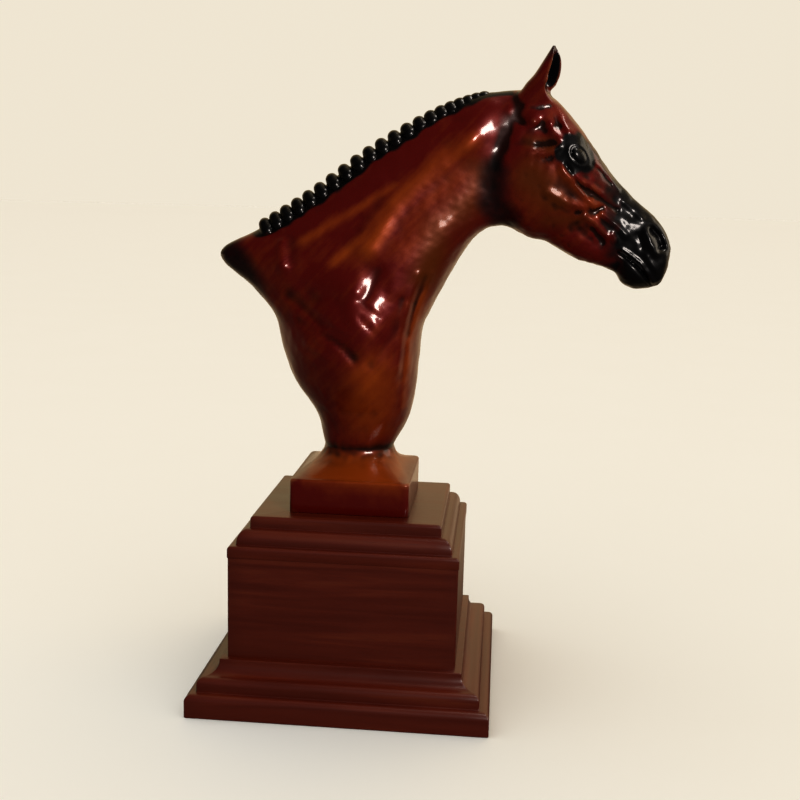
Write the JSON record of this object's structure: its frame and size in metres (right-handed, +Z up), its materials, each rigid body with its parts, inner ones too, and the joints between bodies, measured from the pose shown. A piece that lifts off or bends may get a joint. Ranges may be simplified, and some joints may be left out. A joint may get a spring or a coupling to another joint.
{
  "type": "horse head trophy",
  "caption": "Cast bronze horse's head and neck with a plaited mane, rising from a square foot on a moulded wooden plinth; a standing trophy.",
  "frame": {"origin": "middle of the plinth's flat underside", "axes": "+X the way the horse looks, +Z up, +Y to the horse's left"},
  "size_m": [0.2769, 0.17, 0.3948],
  "materials": {
    "bronze": "glossy red-brown patina with black mane and muzzle",
    "stained_wood": "dark mahogany stain, satin lacquer"
  },
  "bodies": {
    "root": {"horse_bust": "bronze", "plinth_cap": "stained_wood", "plinth_block": "stained_wood", "plinth_base": "stained_wood"}
  },
  "joints": []
}
